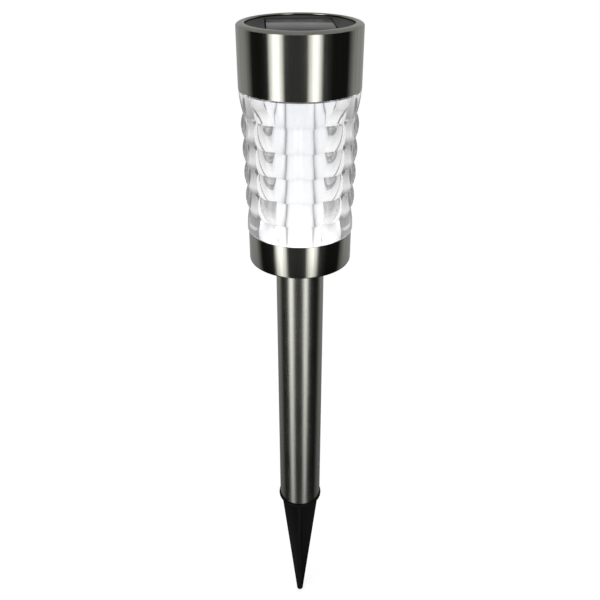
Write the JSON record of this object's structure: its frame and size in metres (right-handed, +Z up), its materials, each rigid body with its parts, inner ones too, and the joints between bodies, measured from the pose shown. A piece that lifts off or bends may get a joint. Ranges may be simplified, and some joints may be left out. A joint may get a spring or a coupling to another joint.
{
  "type": "solar garden light",
  "caption": "Stake-mounted solar path light: a steel-capped solar head on a clear moulded lens, a round steel pole and a black ground spike.",
  "frame": {"origin": "on the light's axis at ground level, which is the underside of the spike's flange", "axes": "+Z up along the axis, from the ground to the solar panel; -Y is the side that is seen; the slide switch lies towards -Y"},
  "size_m": [0.057, 0.057, 0.3796],
  "materials": {
    "brushed_steel": "satin brushed stainless steel, grain round the axis",
    "black_plastic": "fine matt black moulding",
    "spike_plastic": "matt black moulding",
    "solar_cell": "dark cells with fine silver lines under clear resin",
    "clear_lens": "clear polished moulding with rounded cells",
    "frosted_diffuser": "frosted white, translucent",
    "white_reflector": "white, half gloss",
    "seal_rubber": "matt black rubber",
    "foam": "closed-cell foam",
    "circuit_board": "green solder mask",
    "chip_resin": "moulded black resin",
    "inductor_lacquer": "green lacquer",
    "led_resin": "water-clear resin",
    "cell_wrap": "green shrink wrap with plain steel ends",
    "nickel": "nickel plate",
    "zinc_screw": "bright zinc plate",
    "red_lead": "red insulation",
    "black_lead": "black insulation"
  },
  "bodies": {
    "stake": {"ground_spike": "spike_plastic"},
    "pole": {"pole_tube": "brushed_steel"},
    "lamp": {"collar_sleeve": "brushed_steel", "collar_insert": "black_plastic", "insert_screw": "zinc_screw", "lens": "clear_lens", "reflector_disc": "white_reflector", "diffuser_tube": "frosted_diffuser"},
    "seal": {"neck_seal": "seal_rubber"},
    "head": {"cap_sleeve": "brushed_steel", "panel_housing": "black_plastic", "solar_panel": "solar_cell", "panel_gasket": "foam", "base_cover": "black_plastic", "cover_screw_1": "zinc_screw", "cover_screw_2": "zinc_screw", "cover_screw_3": "zinc_screw", "battery_cell": "cell_wrap", "battery_spring": "nickel", "spring_plate": "nickel", "contact_plate": "nickel", "circuit_board": "circuit_board", "controller_chip": "chip_resin", "inductor": "inductor_lacquer", "led": "led_resin", "switch_body": "chip_resin", "panel_lead_red": "red_lead", "panel_lead_black": "black_lead", "battery_lead_red": "red_lead", "battery_lead_black": "black_lead"},
    "switch": {"switch_slider": "black_plastic"}
  },
  "joints": [
    {"name": "pole_lift", "type": "slide", "parent": "stake", "child": "pole", "axis": [0, 0, 1], "range_m": [0, 0.026]},
    {"name": "lamp_lift", "type": "slide", "parent": "pole", "child": "lamp", "axis": [0, 0, 1], "range_m": [0, 0.022]},
    {"name": "head_lift", "type": "slide", "parent": "lamp", "child": "seal", "axis": [0, 0, 1], "range_m": [0, 0.03]},
    {"name": "head_turn", "type": "hinge", "parent": "seal", "child": "head", "pos_m": [0, 0, 0.256], "axis": [0, 0, 1], "continuous": true},
    {"name": "switch_slide", "type": "slide", "parent": "head", "child": "switch", "axis": [1, 0, 0], "range_m": [-0.0024, 0]}
  ]
}
